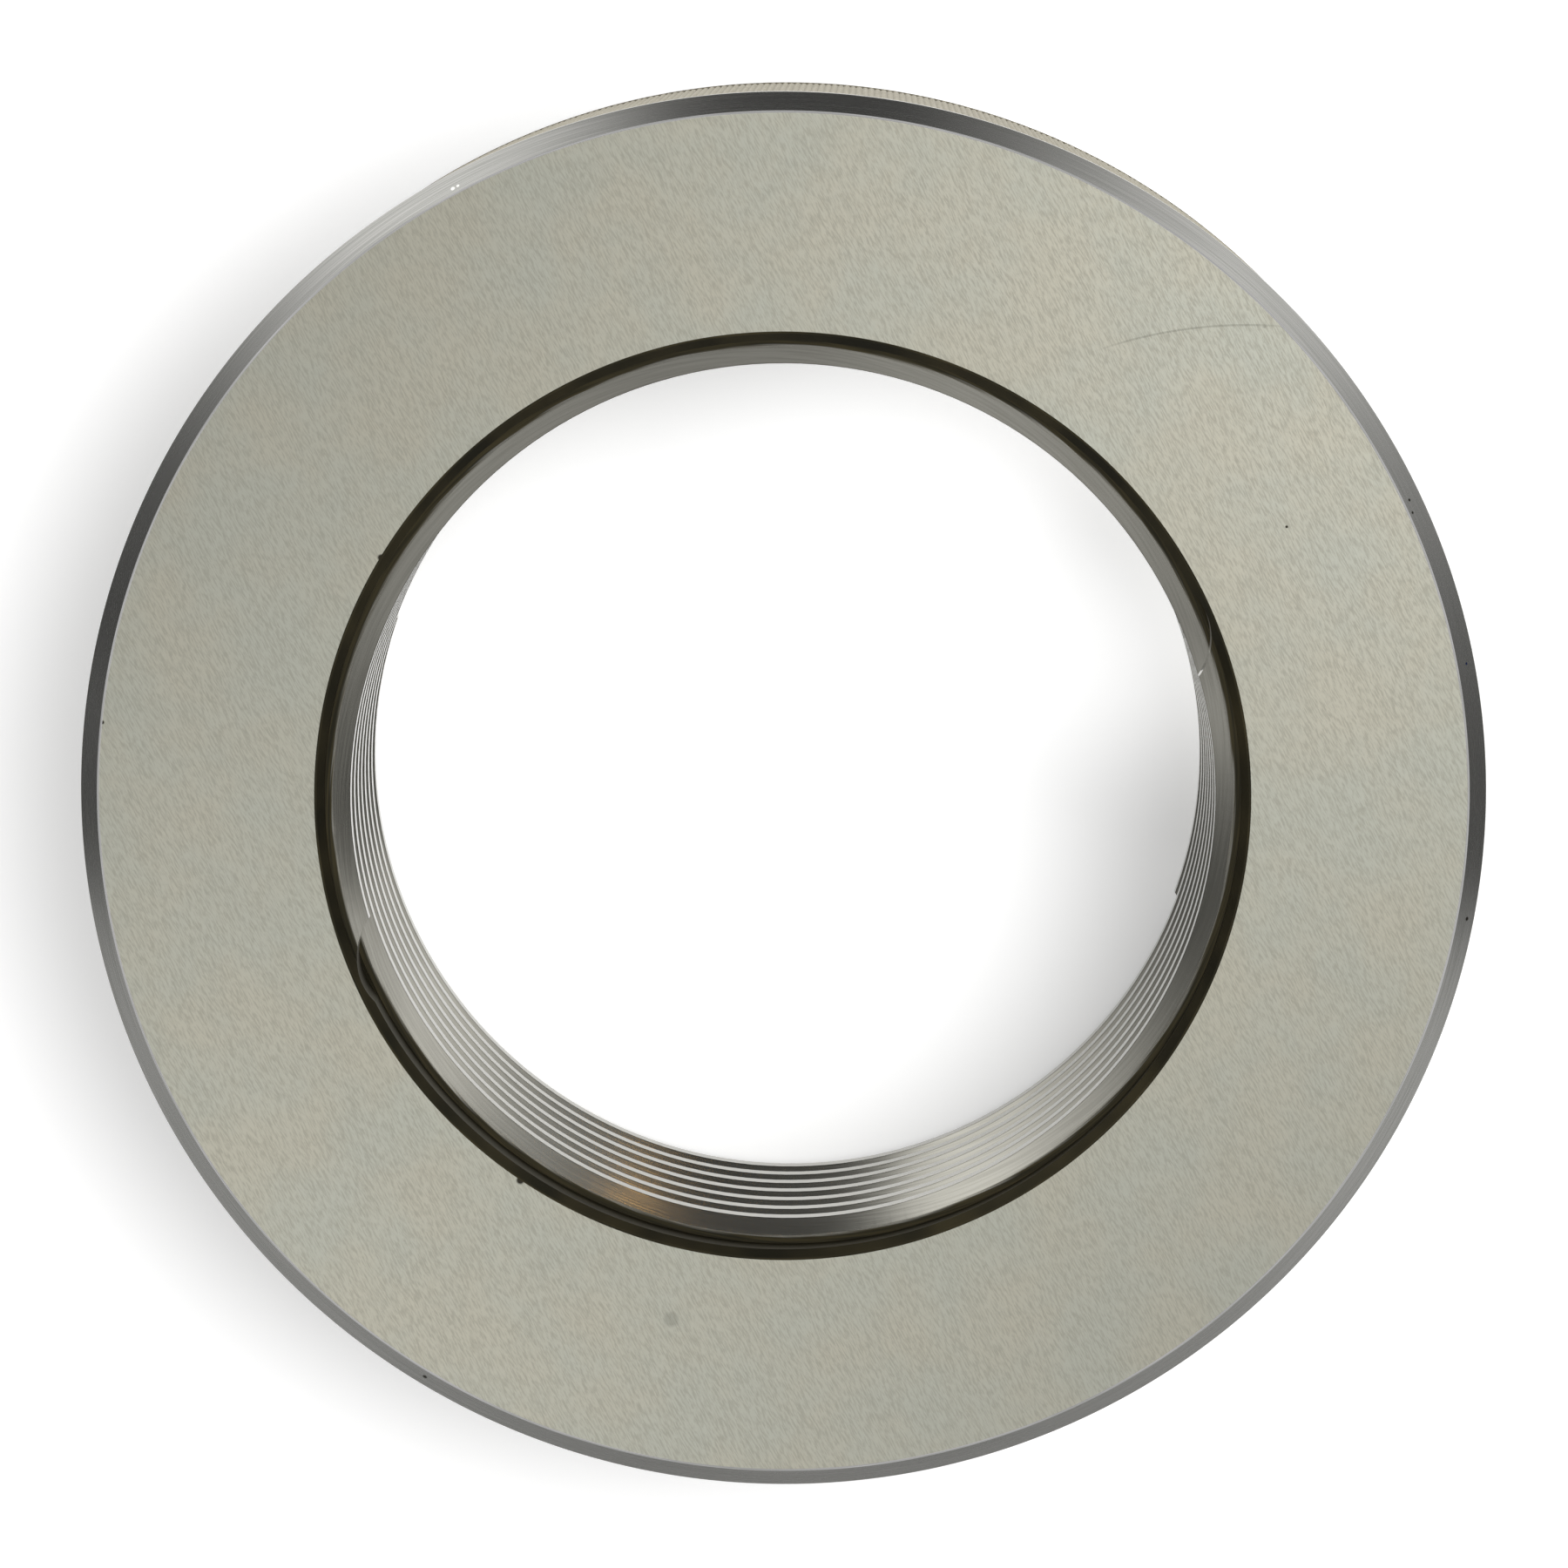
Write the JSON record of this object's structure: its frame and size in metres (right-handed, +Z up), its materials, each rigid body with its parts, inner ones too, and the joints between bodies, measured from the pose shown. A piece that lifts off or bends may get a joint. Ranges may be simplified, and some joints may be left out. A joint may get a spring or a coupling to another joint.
{
  "type": "thread ring gauge",
  "caption": "Thick hardened steel ring with a two-start trapezoidal thread in its bore, chamfered edges and a knurled rim for turning it on a screw by hand.",
  "frame": {"origin": "centre of the lower end face, which the ring rests on", "axes": "+Z up along the bore, towards the marked end face; +Y towards the top of that face as it is read"},
  "size_m": [0.1543, 0.1542, 0.041],
  "materials": {
    "gauge_steel": "satin ground and lapped faces, turned chamfers, dark thread root and bore mouth, knurled rim"
  },
  "bodies": {
    "root": {"gauge_ring": "gauge_steel"}
  },
  "joints": []
}
